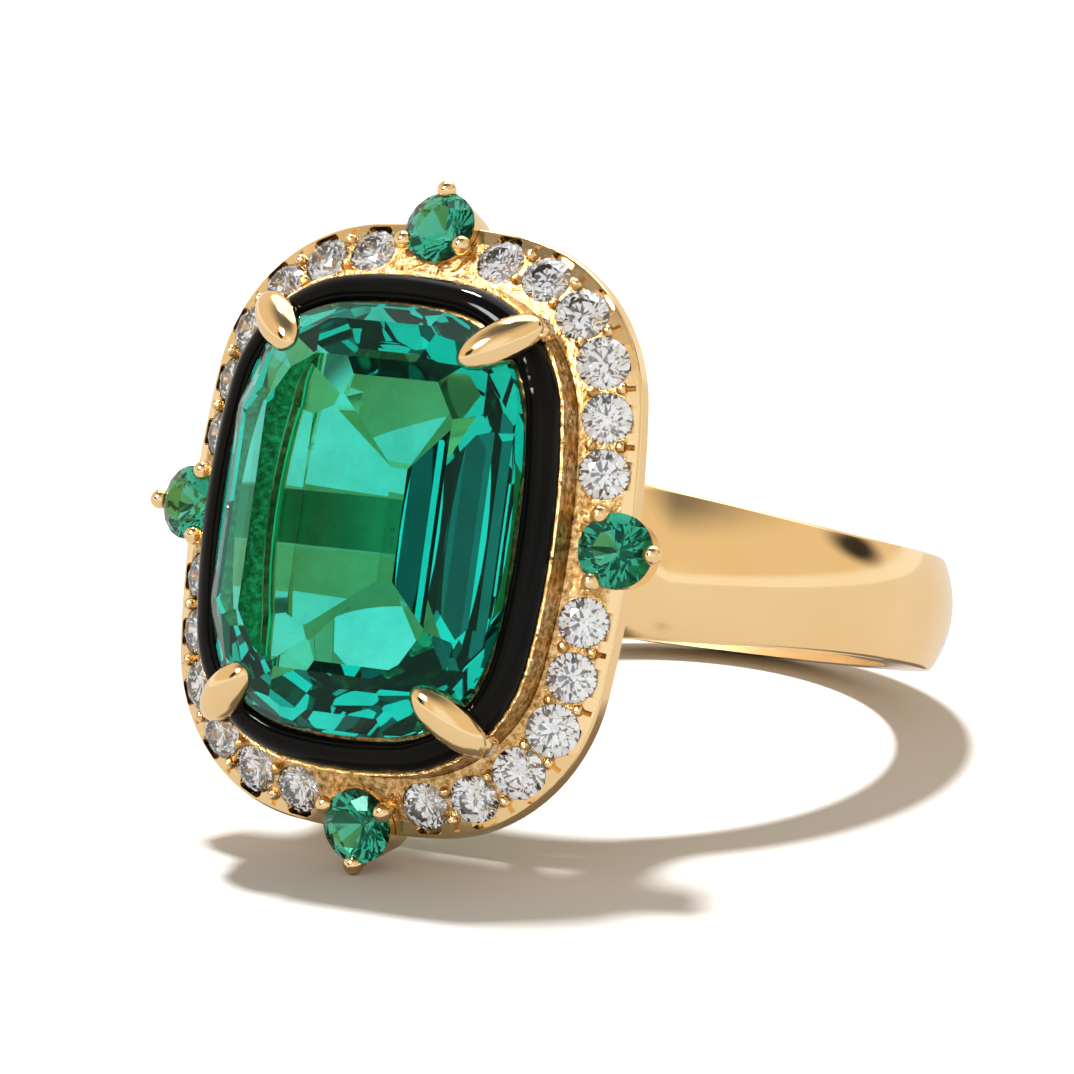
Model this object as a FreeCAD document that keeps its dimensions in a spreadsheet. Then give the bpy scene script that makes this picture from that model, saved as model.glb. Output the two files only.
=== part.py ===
import FreeCAD, Part
import math
import os
import re

import Sketcher
from FreeCAD import Placement, Rotation, Vector

# Cocktail ring. The finger axis is Z and the origin is the centre of the finger hole.
# The head faces -Y, with its long side along Z and its east side at +X.
# Head pieces are drawn face up, with their height above the finger axis as local Z, and
# then tipped about X by HEAD, so local X stays east and local Y becomes north (+Z).
HEAD = Placement(Vector(0, 0, 0), Rotation(Vector(1, 0, 0), 90))

SIZES = {
    # finger band
    "finger_radius": 8.65,
    "band_thickness": 1.85,
    "band_dome_radius": 3.4,
    "band_edge_round": 0.16,
    "band_blank_width": 6.0,
    "back_half_width": 1.68,
    "side_half_width": 1.7,
    "flare_start": 1.0,
    "flare_radius": 50.0,
    "cut_reach": 12.0,
    # shoulders that carry the head, and the bridge of band between them
    "shoulder_outer_x": 5.5,
    "shoulder_inner_x": 4.0,
    "shoulder_root": 8.0,
    "shoulder_sweep": 2.2,
    "bridge_half_width": 0.78,
    # centre stone: its girdle is a cushion of two side arcs, two end arcs and four corner arcs
    "stone_half_x": 4.65,
    "stone_half_y": 6.07,
    "stone_side_arc": 21.6,
    "stone_end_arc": 12.5,
    "stone_corner_arc": 3.07,
    "girdle_low": 14.8,
    "girdle_high": 14.96,
    "table_level": 16.1,
    "table_inset": 2.3,
    "culet_level": 11.4,
    "culet_inset": 2.85,
    # tray and black frame, as distances outward from the girdle outline
    "tray_out": 1.02,
    "tray_lip": 0.09,
    "tray_in": -0.2,
    "tray_bearing": 0.28,
    "tray_base": 12.9,
    "tray_floor": 13.5,
    "tray_lip_top": 14.2,
    "tray_bearing_top": 14.5,
    "fit_gap": 0.01,
    "frame_top": 14.82,
    "frame_outer_round": 0.6,
    "frame_inner_round": 0.2,
    # halo plate
    "rim_half_x": 7.15,
    "rim_half_y": 8.65,
    "rim_side_arc": 33.0,
    "rim_end_arc": 23.6,
    "rim_corner_arc": 5.1,
    "rim_top": 12.55,
    "rim_low": 12.1,
    "rim_edge_round": 0.1,
    "plate_back": 11.5,
    "plate_back_inset": 0.45,
    "bevel_top": 13.35,
    "shelf_in": -1.2,
    "shelf_low": 12.4,
    # halo diamonds, their seats, open slots and beads
    "diamond_radius": 0.7,
    "corner_diamond_radius": 0.75,
    "diamond_inset": 0.86,
    "diamond_level": 12.94,
    "diamond_tilt": 25.0,
    "diamond_axis_gap": 2.07,
    "seat_hole_radius": 0.38,
    "slot_half_width": 0.4,
    "slot_reach": 0.14,
    "slot_depth": 0.3,
    "slot_corner": 0.15,
    "bead_radius": 0.18,
    "bead_spread": 0.42,
    "bead_lift": 0.07,
    "groove_start": 0.5,
    "groove_end": 0.8,
    "groove_half_width": 0.07,
    "groove_depth": 0.12,
    # accent stones and their collets
    "accent_radius": 1.06,
    "accent_half_x": 6.95,
    "accent_half_y": 8.53,
    "accent_level": 13.05,
    "accent_tilt": 15.0,
    "collet_top_radius": 1.06,
    "collet_low_radius": 1.0,
    "collet_wall": 0.2,
    "collet_depth": 1.35,
    "collet_drop": 0.1,
    "prong_ring_radius": 1.08,
    "prong_radius": 0.15,
    "prong_drop": 0.35,
    "prong_ball_radius": 0.28,
    "prong_ball_level": 0.14,
    # claws, in an upright plane beside a corner centre of the stone outline
    "claw_angle": 38.5,
    "claw_offset": 0.45,
    "claw_reach": 3.2,
    "claw_level": 15.05,
    "claw_half_length": 1.32,
    "claw_half_width": 0.62,
    "claw_half_height": 0.6,
    "claw_tilt": 26.4,
    "root_level": 14.2,
    "root_half_length": 0.32,
    "root_half_width": 0.42,
    "root_half_height": 0.7,
    "claw_lip_gap": 0.05,
    # gallery behind the halo
    "rail_out": -0.72,
    "rail_in": -1.38,
    "rail_low": 9.95,
    "rail_high": 10.55,
    "rail_edge_round": 0.15,
    "post_radius": 0.4,
    "post_foot_reach": 2.0,
    "post_head_reach": 3.25,
    "post_run_on": 0.5,
}
# cut proportions of a round brilliant, as parts of its radius
TABLE_RATIO = 0.56
CROWN_RATIO = 0.31
GIRDLE_RATIO = 0.03
CULET_RATIO = 0.05
PAVILION_RATIO = 0.84

CORNERS = {"north_east": (1, 1), "north_west": (-1, 1), "south_west": (-1, -1), "south_east": (1, -1)}
ACCENTS = {"east": 0, "north": 90, "west": 180, "south": 270}
DIAMONDS_PER_CORNER = 6
LARGER_DIAMONDS = (2, 3)
PRONG_ANGLES = (0, 120, 240)
# how near counts as on a surface, how far a cutter runs past what it cuts, and the least a cut takes
TOUCH = 1e-3
OVERRUN = 1.0
LEAST_CUT = 1.0

doc = FreeCAD.newDocument("cocktail_ring")
sheet = doc.addObject("Spreadsheet::Sheet", "Sizes")
for row, (alias, number) in enumerate(SIZES.items(), 1):
    sheet.set(f"A{row}", alias)
    sheet.set(f"B{row}", str(number))
    sheet.setAlias(f"B{row}", alias)
doc.recompute()
nodes = []


# ---------------------------------------------------------------- document helpers

def size(formula):
    """The number that a formula of the sheet's names has now."""
    return float(sheet.evalExpression(formula))


def cells(formula):
    """The same formula, with its names pointing at the sheet."""
    return re.sub(r"[a-z_]+", lambda word: "Sizes." + word[0], formula)


def bind(thing, **formulas):
    for prop, formula in formulas.items():
        thing.setExpression(prop, cells(formula))
    return thing


def keep(thing, label, placement=HEAD):
    """Marks a finished sub-part: its label names its file."""
    thing.Label = label
    thing.Placement = placement
    nodes.append(thing)
    return thing


def new_sketch(body, name, plane="XY_Plane", level=None):
    sketch = body.newObject("Sketcher::SketchObject", name)
    origin_planes = body.Origin.OriginFeatures
    sketch.AttachmentSupport = [(feature, "") for feature in origin_planes if feature.Role == plane]
    sketch.MapMode = "FlatFace"
    if level:
        sketch.setExpression("AttachmentOffset.Base.z", cells(level))
    return sketch


def hold(sketch, kind, *refs, formula=None):
    """Adds a constraint, with its number bound to a formula of the sheet when it has one."""
    if formula is None:
        sketch.addConstraint(Sketcher.Constraint(kind, *refs))
        return
    index = sketch.addConstraint(Sketcher.Constraint(kind, *refs, size(formula)))
    sketch.renameConstraint(index, f"size_{index}")
    sketch.setExpression(f"Constraints.size_{index}", cells(formula))


def draw_polygon(sketch, points):
    """Closed outline of straight lines; returns the index of its first line."""
    first = sketch.GeometryCount
    for start, end in zip(points, points[1:] + points[:1]):
        sketch.addGeometry(Part.LineSegment(start, end))
    for index in range(len(points)):
        hold(sketch, "Coincident", first + index, 2, first + (index + 1) % len(points), 1)
    return first


def place_point(sketch, line, across, up):
    """Fixes the start of a line by formulas for its distance from the origin, each with a sign."""
    for kind, (sign, formula) in (("DistanceX", across), ("DistanceY", up)):
        ends = (-1, 1, line, 1) if sign > 0 else (line, 1, -1, 1)
        hold(sketch, kind, *ends, formula=formula)


def draw_outline(sketch, corners):
    """Closed polygon whose corners are pairs of (sign, formula)."""
    points = [Vector(a[0] * size(a[1]), b[0] * size(b[1]), 0) for a, b in corners]
    first = draw_polygon(sketch, points)
    for index, (across, up) in enumerate(corners):
        place_point(sketch, first + index, across, up)


def pad(body, sketch, length, name, midplane=False):
    feature = body.newObject("PartDesign::Pad", name)
    feature.Profile = sketch
    feature.Midplane = midplane
    return bind(feature, Length=length)


def pocket(body, sketch, length, name, midplane=False, upward=False):
    feature = body.newObject("PartDesign::Pocket", name)
    feature.Profile = sketch
    feature.Midplane = midplane
    feature.Reversed = upward
    return bind(feature, Length=length)


def loft(body, first, second, name):
    feature = body.newObject("PartDesign::AdditiveLoft", name)
    feature.Profile = first
    feature.Sections = [second]
    feature.Ruled = True
    return feature


def round_edges(body, base, wanted, radius, name):
    """Fillets the edges of base for which wanted(edge) holds."""
    doc.recompute()
    chosen = [f"Edge{number}" for number, edge in enumerate(base.Shape.Edges, 1) if wanted(edge)]
    feature = body.newObject("PartDesign::Fillet", name)
    feature.Base = (base, chosen)
    bind(feature, Radius=radius)
    doc.recompute()
    return feature


def middle_of(edge):
    return edge.valueAt((edge.FirstParameter + edge.LastParameter) / 2)


def lies_at(edge, level):
    box = edge.BoundBox
    return abs(box.ZMin - level) < TOUCH and abs(box.ZMax - level) < TOUCH


# ---------------------------------------------------------------- cushion outlines

def cushion_arcs(prefix, grow=0.0):
    """Arc radii and centres of a cushion's first quarter, and the two angles where arcs meet."""
    half_x, half_y, side_arc, end_arc, corner_arc = (
        size(f"{prefix}_{part}") + grow
        for part in ("half_x", "half_y", "side_arc", "end_arc", "corner_arc")
    )
    side_centre = Vector(half_x - side_arc, 0, 0)
    end_centre = Vector(0, half_y - end_arc, 0)
    span = end_centre - side_centre
    from_side = side_arc - corner_arc
    from_end = end_arc - corner_arc
    along = (from_side ** 2 - from_end ** 2 + span.Length ** 2) / (2 * span.Length)
    across = math.sqrt(from_side ** 2 - along ** 2)
    unit = span / span.Length
    corner_centre = side_centre + unit * along + Vector(-unit.y, unit.x, 0) * across
    if corner_centre.x < 0 or corner_centre.y < 0:
        corner_centre = side_centre + unit * along + Vector(unit.y, -unit.x, 0) * across
    first = math.atan2(corner_centre.y, corner_centre.x - side_centre.x)
    second = math.atan2(corner_centre.y - end_centre.y, corner_centre.x)
    return (side_arc, corner_arc, end_arc), (side_centre, corner_centre, end_centre), (first, second)


def draw_cushion(sketch, prefix, offset="0"):
    """Draws the cushion outline of that prefix, moved outward by a formula."""
    radii, centres, (first, second) = cushion_arcs(prefix, size(offset))
    side, corner, end = centres
    all_centres = [
        side, corner, end, Vector(-corner.x, corner.y, 0), side * -1, corner * -1, end * -1,
        Vector(corner.x, -corner.y, 0),
    ]
    quarter = [first, second, math.pi - second, math.pi - first]
    turns = [-first] + quarter + [math.pi + turn for turn in quarter]
    start = sketch.GeometryCount
    for index, centre in enumerate(all_centres):
        circle = Part.Circle(centre, Vector(0, 0, 1), radii[min(index % 4, 4 - index % 4)])
        sketch.addGeometry(Part.ArcOfCircle(circle, turns[index], turns[index + 1]))
    for index in range(8):
        hold(sketch, "Tangent", start + index, 2, start + (index + 1) % 8, 1)
    east, north_east, north, west, south = (start + index for index in (0, 1, 2, 4, 6))
    for arc, axis in ((east, -1), (west, -1), (north, -2), (south, -2)):
        hold(sketch, "PointOnObject", arc, 3, axis)
    side_reach = f"{prefix}_side_arc - {prefix}_half_x"
    end_reach = f"{prefix}_end_arc - {prefix}_half_y"
    hold(sketch, "DistanceX", east, 3, -1, 1, formula=side_reach)
    hold(sketch, "DistanceX", -1, 1, west, 3, formula=side_reach)
    hold(sketch, "DistanceY", north, 3, -1, 1, formula=end_reach)
    hold(sketch, "DistanceY", -1, 1, south, 3, formula=end_reach)
    hold(sketch, "Radius", east, formula=f"{prefix}_side_arc + ({offset})")
    hold(sketch, "Radius", north, formula=f"{prefix}_end_arc + ({offset})")
    hold(sketch, "Radius", north_east, formula=f"{prefix}_corner_arc + ({offset})")
    hold(sketch, "Equal", east, west)
    hold(sketch, "Equal", north, south)
    for step in (2, 4, 6):
        hold(sketch, "Equal", north_east, north_east + step)


def cushion_sketch(body, name, prefix, level, *offsets):
    sketch = new_sketch(body, name, level=level)
    for offset in offsets or ("0",):
        draw_cushion(sketch, prefix, offset)
    return sketch


def along_cushion(prefix, grow, distance):
    """Point on the first quarter and its outward angle, at a distance round from the east side."""
    radii, centres, (first, second) = cushion_arcs(prefix, grow)
    turns = (0, first, second, math.pi / 2)
    for index, (radius, centre) in enumerate(zip(radii, centres)):
        length = radius * (turns[index + 1] - turns[index])
        if distance <= length:
            break
        distance -= length
    angle = turns[index] + distance / radius
    return centre + Vector(math.cos(angle), math.sin(angle), 0) * radius, angle


def quarter_length(prefix, grow):
    radii, _, (first, second) = cushion_arcs(prefix, grow)
    return radii[0] * first + radii[1] * (second - first) + radii[2] * (math.pi / 2 - second)


def tilted(point, angle, tilt):
    """Placement at point, with local Z leaned outward by tilt (degrees) and local X outward."""
    turn = Rotation(Vector(0, 0, 1), math.degrees(angle))
    return Placement(point, turn * Rotation(Vector(0, 1, 0), tilt))


# ---------------------------------------------------------------- finger band

def make_shank():
    """Flat band, two shoulders, and a narrow bridge between them; its sides flare to the head."""
    body = doc.addObject("PartDesign::Body", "shank")
    plan = new_sketch(body, "band_plan")
    for index, radius in enumerate(("finger_radius + band_thickness", "finger_radius")):
        plan.addGeometry(Part.Circle(Vector(0, 0, 0), Vector(0, 0, 1), size(radius)))
        hold(plan, "Coincident", index, 3, -1, 1)
        hold(plan, "Radius", index, formula=radius)
    pad(body, plan, "band_blank_width", "band_blank", midplane=True)
    shoulders = new_sketch(body, "shoulder_plan")
    for side in (1, -1):
        inner, outer = (side, "shoulder_inner_x"), (side, "shoulder_outer_x")
        root, top = (-1, "shoulder_root"), (-1, "plate_back")
        draw_outline(shoulders, [(inner, root), (outer, root), (outer, top), (inner, top)])
    blanks = pad(body, shoulders, "band_blank_width", "shoulder_blanks", midplane=True)
    band_radius = size("finger_radius + band_thickness")
    shoulder_x = size("shoulder_outer_x")

    def shoulder_root_edge(edge):
        middle = middle_of(edge)
        on_band = abs(math.hypot(middle.x, middle.y) - band_radius) < TOUCH
        return on_band and abs(abs(middle.x) - shoulder_x) < TOUCH

    swept = round_edges(body, blanks, shoulder_root_edge, "shoulder_sweep", "shoulder_sweeps")
    side_view = new_sketch(body, "band_side_view", "YZ_Plane")
    for side in (1, -1):
        draw_side_waste(side_view, side)
    sides = pocket(body, side_view, "cut_reach * 2", "band_sides", midplane=True)
    bridge_view = new_sketch(body, "bridge_view", "XZ_Plane")
    for side in (1, -1):
        west, east = (-1, "shoulder_inner_x"), (1, "shoulder_inner_x")
        near, far = (side, "bridge_half_width"), (side, "band_blank_width")
        draw_outline(bridge_view, [(west, near), (east, near), (east, far), (west, far)])
    notches = pocket(body, bridge_view, "cut_reach", "bridge_notches", upward=True)
    domed = cut_dome(body)
    doc.recompute()
    volumes = [feature.Shape.Volume for feature in (swept, sides, notches, domed)]
    if any(before < after + LEAST_CUT for before, after in zip(volumes, volumes[1:])):
        raise RuntimeError("a cut of the shank removes nothing")

    def outer_long_edge(edge):
        middle = middle_of(edge)
        thick = size("band_thickness")
        outside = math.hypot(middle.x, middle.y) > band_radius - thick / 2
        round_finger = middle.y > -shoulder_x
        return outside and round_finger and edge.Length > thick and abs(middle.z) > thick / 2

    round_edges(body, domed, outer_long_edge, "band_edge_round", "band_edge_rounds")
    return keep(body, "shank", Placement())


def cut_dome(body):
    """Takes the outside of the band and shoulders down to a dome across their width."""
    path = new_sketch(body, "outer_path")
    draw_outer_path(path)
    section = new_sketch(body, "dome_section", "XZ_Plane", "plate_back")
    radius = size("band_dome_radius")
    apex = size("shoulder_outer_x - fit_gap")
    half = size("band_blank_width / 2 + band_edge_round")
    turn = math.asin(half / radius)
    edge_x = apex - radius + radius * math.cos(turn)
    far = apex + size("shoulder_sweep") / 2
    section.addGeometry(Part.ArcOfCircle(
        Part.Circle(Vector(apex - radius, 0, 0), Vector(0, 0, 1), radius), -turn, turn))
    corners = [(edge_x, half), (far, half), (far, -half), (edge_x, -half)]
    for start, end in zip(corners, corners[1:]):
        section.addGeometry(Part.LineSegment(Vector(*start, 0), Vector(*end, 0)))
    hold(section, "Coincident", 0, 2, 1, 1)
    hold(section, "Coincident", 1, 2, 2, 1)
    hold(section, "Coincident", 2, 2, 3, 1)
    hold(section, "Coincident", 3, 2, 0, 1)
    hold(section, "PointOnObject", 0, 3, -1)
    hold(section, "Radius", 0, formula="band_dome_radius")
    hold(section, "DistanceX", 0, 3, -1, 1, formula="band_dome_radius - shoulder_outer_x + fit_gap")
    place_point(section, 2, (1, "shoulder_outer_x - fit_gap + shoulder_sweep / 2"),
                (1, "band_blank_width / 2 + band_edge_round"))
    hold(section, "Horizontal", 1)
    hold(section, "Horizontal", 3)
    hold(section, "Symmetric", 2, 1, 2, 2, -1)
    feature = body.newObject("PartDesign::SubtractivePipe", "dome")
    feature.Profile = section
    feature.Spine = (path, [f"Edge{number}" for number in range(1, 6)])
    return feature


def draw_outer_path(sketch):
    """Middle line of the outside: shoulder, sweep, round the finger, sweep, shoulder."""
    band = size("finger_radius + band_thickness")
    sweep = size("shoulder_sweep")
    side = size("shoulder_outer_x")
    back = size("plate_back")
    centre_x = side + sweep
    centre_y = -math.sqrt((band + sweep) ** 2 - centre_x ** 2)
    turn = math.atan2(-centre_y, centre_x)
    axis = Vector(0, 0, 1)
    east = Part.Circle(Vector(centre_x, centre_y, 0), axis, sweep)
    west = Part.Circle(Vector(-centre_x, centre_y, 0), axis, sweep)
    around = Part.Circle(Vector(0, 0, 0), axis, band)
    sketch.addGeometry(Part.LineSegment(Vector(side, -back, 0), Vector(side, centre_y, 0)))
    sketch.addGeometry(Part.ArcOfCircle(east, math.pi - turn, math.pi))
    sketch.addGeometry(Part.ArcOfCircle(around, -turn, math.pi + turn))
    sketch.addGeometry(Part.ArcOfCircle(west, 0, turn))
    sketch.addGeometry(Part.LineSegment(Vector(-side, centre_y, 0), Vector(-side, -back, 0)))
    hold(sketch, "Coincident", 2, 3, -1, 1)
    for first, first_end, second, second_end in ((0, 2, 1, 2), (1, 1, 2, 1), (2, 2, 3, 2), (3, 1, 4, 1)):
        hold(sketch, "Tangent", first, first_end, second, second_end)
    hold(sketch, "Radius", 2, formula="finger_radius + band_thickness")
    hold(sketch, "Radius", 1, formula="shoulder_sweep")
    hold(sketch, "Equal", 1, 3)
    place_point(sketch, 0, (1, "shoulder_outer_x"), (-1, "plate_back"))
    hold(sketch, "Vertical", 0)
    hold(sketch, "Vertical", 4)
    hold(sketch, "Horizontal", 4, 2, 0, 1)
    hold(sketch, "DistanceX", 4, 2, -1, 1, formula="shoulder_outer_x")


def draw_side_waste(sketch, side):
    """Outline of what is cut from one side of the band: a straight, then an arc, seen along X."""
    reach = size("cut_reach")
    start = -size("flare_start")
    radius = size("flare_radius")
    back = size("back_half_width")
    slope = (size("side_half_width") - back) / (reach - start)
    tilt = math.atan(slope)
    level = size("side_half_width")
    centre = Vector(start + radius * math.sin(tilt), level + radius * math.cos(tilt), 0)
    end_y = -reach
    end_turn = math.acos((end_y - centre.x) / radius)
    end = Vector(end_y, centre.y - radius * math.sin(end_turn), 0)
    far = size("band_blank_width")
    places = [(start, level), (reach, back), (reach, far), (end_y, far), (end.x, end.y)]
    points = [Vector(x, side * y, 0) for x, y in places]
    first = sketch.GeometryCount
    for a, b in zip(points, points[1:]):
        sketch.addGeometry(Part.LineSegment(a, b))
    circle = Part.Circle(Vector(centre.x, side * centre.y, 0), Vector(0, 0, 1), radius)
    start_turn = math.atan2(level - centre.y, start - centre.x) % (2 * math.pi)
    end_turn = math.atan2(end.y - centre.y, end.x - centre.x) % (2 * math.pi)
    if side < 0:
        start_turn, end_turn = (-start_turn) % (2 * math.pi), (-end_turn) % (2 * math.pi)
    sketch.addGeometry(Part.ArcOfCircle(circle, min(start_turn, end_turn), max(start_turn, end_turn)))
    at_start, at_end = (2, 1) if side > 0 else (1, 2)
    arc = first + 4
    for line in range(first, first + 3):
        hold(sketch, "Coincident", line, 2, line + 1, 1)
    hold(sketch, "Coincident", first + 3, 2, arc, at_end)
    hold(sketch, "Tangent", arc, at_start, first, 1)
    hold(sketch, "Radius", arc, formula="flare_radius")
    place_point(sketch, first, (-1, "flare_start"), (side, "side_half_width"))
    place_point(sketch, first + 1, (1, "cut_reach"), (side, "back_half_width"))
    hold(sketch, "Vertical", first + 1)
    hold(sketch, "Horizontal", first + 2)
    place_point(sketch, first + 3, (-1, "cut_reach"), (side, "band_blank_width"))
    hold(sketch, "Vertical", first + 3)


# ---------------------------------------------------------------- gallery behind the halo

def make_rail():
    body = doc.addObject("PartDesign::Body", "gallery_rail")
    outline = cushion_sketch(body, "rail_plan", "stone", "rail_low", "rail_out", "rail_in")
    ring = pad(body, outline, "rail_high - rail_low", "rail_ring")
    low, high = size("rail_low"), size("rail_high")

    def rim_edge(edge):
        return lies_at(edge, low) or lies_at(edge, high)

    round_edges(body, ring, rim_edge, "rail_edge_round", "rail_rounds")
    return keep(body, "gallery_rail")


def make_posts():
    """Four leaning posts between the corners of the rail and the back of the plate."""
    _, centres, turns = cushion_arcs("stone")
    angle = sum(turns) / 2
    outward = Vector(math.cos(angle), math.sin(angle), 0)
    foot = centres[1] + outward * size("post_foot_reach") + Vector(0, 0, size("rail_high"))
    head = centres[1] + outward * size("post_head_reach") + Vector(0, 0, size("plate_back"))
    run_on = (head - foot).normalize() * size("post_run_on")
    posts = []
    for name, (east, north) in CORNERS.items():
        low, high = (Vector(end.x * east, end.y * north, end.z) for end in (foot - run_on, head + run_on))
        post = doc.addObject("Part::Cylinder", f"post_{name}")
        post.Placement = Placement(low, Rotation(Vector(0, 0, 1), high - low))
        post.Height = (high - low).Length
        posts.append(bind(post, Radius="post_radius"))
    wires = doc.addObject("Part::Compound", "post_wires")
    wires.Links = posts
    slab = doc.addObject("Part::Box", "post_slab")
    bind(slab, Length="cut_reach * 2", Width="cut_reach * 2", Height="plate_back - rail_high")
    slab.Placement = Placement(Vector(-size("cut_reach"), -size("cut_reach"), size("rail_high")), Rotation())
    group = doc.addObject("Part::MultiCommon", "gallery_posts")
    group.Shapes = [wires, slab]
    return keep(group, "gallery_posts")


# ---------------------------------------------------------------- centre stone, tray and frame

def make_centre_stone():
    body = doc.addObject("PartDesign::Body", "centre_emerald")
    girdle = cushion_sketch(body, "girdle_outline", "stone", "girdle_low")
    pad(body, girdle, "girdle_high - girdle_low", "girdle")
    top = cushion_sketch(body, "crown_outline", "stone", "girdle_high")
    table = cushion_sketch(body, "table_outline", "stone", "table_level", "0 - table_inset")
    loft(body, top, table, "crown")
    low = cushion_sketch(body, "pavilion_outline", "stone", "girdle_low")
    culet = cushion_sketch(body, "culet_outline", "stone", "culet_level", "0 - culet_inset")
    loft(body, low, culet, "pavilion")
    return keep(body, "centre_emerald")


def make_tray():
    body = doc.addObject("PartDesign::Body", "frame_tray")
    walls = (
        ("floor", "tray_out", "tray_in", "tray_floor"),
        ("lip", "tray_out", "tray_out - tray_lip", "tray_lip_top"),
        ("bearing", "tray_in + tray_bearing", "tray_in", "tray_bearing_top"),
    )
    for name, outer, inner, top in walls:
        outline = cushion_sketch(body, f"{name}_outline", "stone", "tray_base", outer, inner)
        pad(body, outline, f"{top} - tray_base", name)
    return keep(body, "frame_tray")


def make_black_frame():
    """Inlay that fills the tray, with a rounded top."""
    body = doc.addObject("PartDesign::Body", "black_frame")
    outer = "tray_out - tray_lip - fit_gap"
    inner = "tray_in + tray_bearing + fit_gap"
    outline = cushion_sketch(body, "inlay_outline", "stone", "tray_floor + fit_gap", outer, inner)
    ring = pad(body, outline, "frame_top - tray_floor - fit_gap", "inlay")
    top = size("frame_top")
    split = (size(outer) + size(inner)) / 2

    def top_edge(outside):
        def wanted(edge):
            point = middle_of(edge)
            beyond = cushion_distance("stone", point) > split
            return lies_at(edge, top) and beyond == outside
        return wanted

    rounded = round_edges(body, ring, top_edge(True), "frame_outer_round", "outer_round")
    round_edges(body, rounded, top_edge(False), "frame_inner_round", "inner_round")
    return keep(body, "black_frame")


def cushion_distance(prefix, point):
    """Distance of a point outside a cushion's outline, seen along its axis."""
    radii, centres, (first, second) = cushion_arcs(prefix)
    flat = Vector(abs(point.x), abs(point.y), 0)
    from_corner = flat - centres[1]
    turn = math.atan2(from_corner.y, from_corner.x)
    nearest = 0 if turn < first else 1 if turn < second else 2
    return (flat - centres[nearest]).Length - radii[nearest]


# ---------------------------------------------------------------- round stones

def make_brilliant(name, radius, placement):
    """Round stone from three stacked solids: crown, girdle and pavilion, sized by its radius."""
    crown = doc.addObject("Part::Cone", f"{name}_crown")
    crown.Placement = Placement(Vector(0, 0, GIRDLE_RATIO * size(radius)), Rotation())
    bind(crown, Radius1=radius, Radius2=f"{radius} * {TABLE_RATIO}", Height=f"{radius} * {CROWN_RATIO}")
    girdle = doc.addObject("Part::Cylinder", f"{name}_girdle")
    girdle.Placement = Placement(Vector(0, 0, -GIRDLE_RATIO * size(radius)), Rotation())
    bind(girdle, Radius=radius, Height=f"{radius} * {2 * GIRDLE_RATIO}")
    pavilion = doc.addObject("Part::Cone", f"{name}_pavilion")
    depth = (PAVILION_RATIO + GIRDLE_RATIO) * size(radius)
    pavilion.Placement = Placement(Vector(0, 0, -depth), Rotation())
    height = f"{radius} * {PAVILION_RATIO}"
    bind(pavilion, Radius1=f"{radius} * {CULET_RATIO}", Radius2=radius, Height=height)
    stone = doc.addObject("Part::MultiFuse", name)
    stone.Shapes = [crown, girdle, pavilion]
    return keep(stone, name, HEAD * placement)


def halo_place(east, north, step):
    """Placement in the row of diamonds: that many pitches round a corner from its east or west end."""
    inset = -size("diamond_inset")
    gap = size("diamond_axis_gap")
    pitch = (quarter_length("rim", inset) - 2 * gap) / (DIAMONDS_PER_CORNER - 1)
    point, angle = along_cushion("rim", inset, gap + step * pitch)
    point = Vector(point.x * east, point.y * north, size("diamond_level"))
    angle = math.atan2(math.sin(angle) * north, math.cos(angle) * east)
    return tilted(point, angle, size("diamond_tilt"))


def diamond_places():
    """Name, radius cell and placement of each halo diamond."""
    places = []
    for corner, (east, north) in CORNERS.items():
        for number in range(DIAMONDS_PER_CORNER):
            radius = "corner_diamond_radius" if number in LARGER_DIAMONDS else "diamond_radius"
            places.append((f"diamond_{corner}_{number + 1}", radius, halo_place(east, north, number)))
    return places


def bead_places():
    """Placements midway between neighbouring diamonds."""
    gaps = range(DIAMONDS_PER_CORNER - 1)
    return [halo_place(east, north, gap + 1 / 2) for east, north in CORNERS.values() for gap in gaps]


def accent_place(side):
    angle = math.radians(ACCENTS[side])
    across = math.cos(angle) * size("accent_half_x")
    up = math.sin(angle) * size("accent_half_y")
    return tilted(Vector(across, up, size("accent_level")), angle, size("accent_tilt"))


# ---------------------------------------------------------------- halo plate

def seat_cutter(radius):
    """Room for one diamond: open above, a cone under the girdle, a drilled hole to the back."""
    wide = size(f"{radius} + fit_gap")
    hole = size("seat_hole_radius")
    low = GIRDLE_RATIO * size(radius) + size("fit_gap")
    cone = (PAVILION_RATIO * (wide - hole)) / (1 - CULET_RATIO)
    reach = size("rim_top - plate_back") + OVERRUN
    points = [
        (0, OVERRUN), (wide, OVERRUN), (wide, -low), (hole, -low - cone), (hole, -reach), (0, -reach),
    ]
    outline = Part.makePolygon([Vector(x, 0, z) for x, z in points + points[:1]])
    return Part.Face(outline).revolve(Vector(0, 0, 0), Vector(0, 0, 1), 360)


def slot_cutter(radius):
    """Open slot beside a diamond, on its outer side."""
    half = size("slot_half_width")
    depth = size("slot_depth")
    reach = size(f"{radius} + slot_reach")
    box = Part.makeBox(reach, 2 * half, depth + OVERRUN, Vector(0, -half, -depth))
    far_edges = [edge for edge in box.Edges if middle_of(edge).x > reach - TOUCH]
    upright = [edge for edge in far_edges if edge.BoundBox.ZLength > depth]
    return box.makeFillet(size("slot_corner"), upright)


def groove_cutter():
    """V groove that runs outward from between two diamonds, drawn at their girdle level."""
    half = size("groove_half_width")
    start, end = size("groove_start"), size("groove_end")
    above = 2 * size("groove_depth")
    wide = half * (1 + above / size("groove_depth"))
    points = [(0, -size("groove_depth")), (wide, above), (-wide, above)]
    outline = Part.makePolygon([Vector(start, y, z) for y, z in points + points[:1]])
    return Part.Face(outline).extrude(Vector(end - start, 0, 0))


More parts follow.
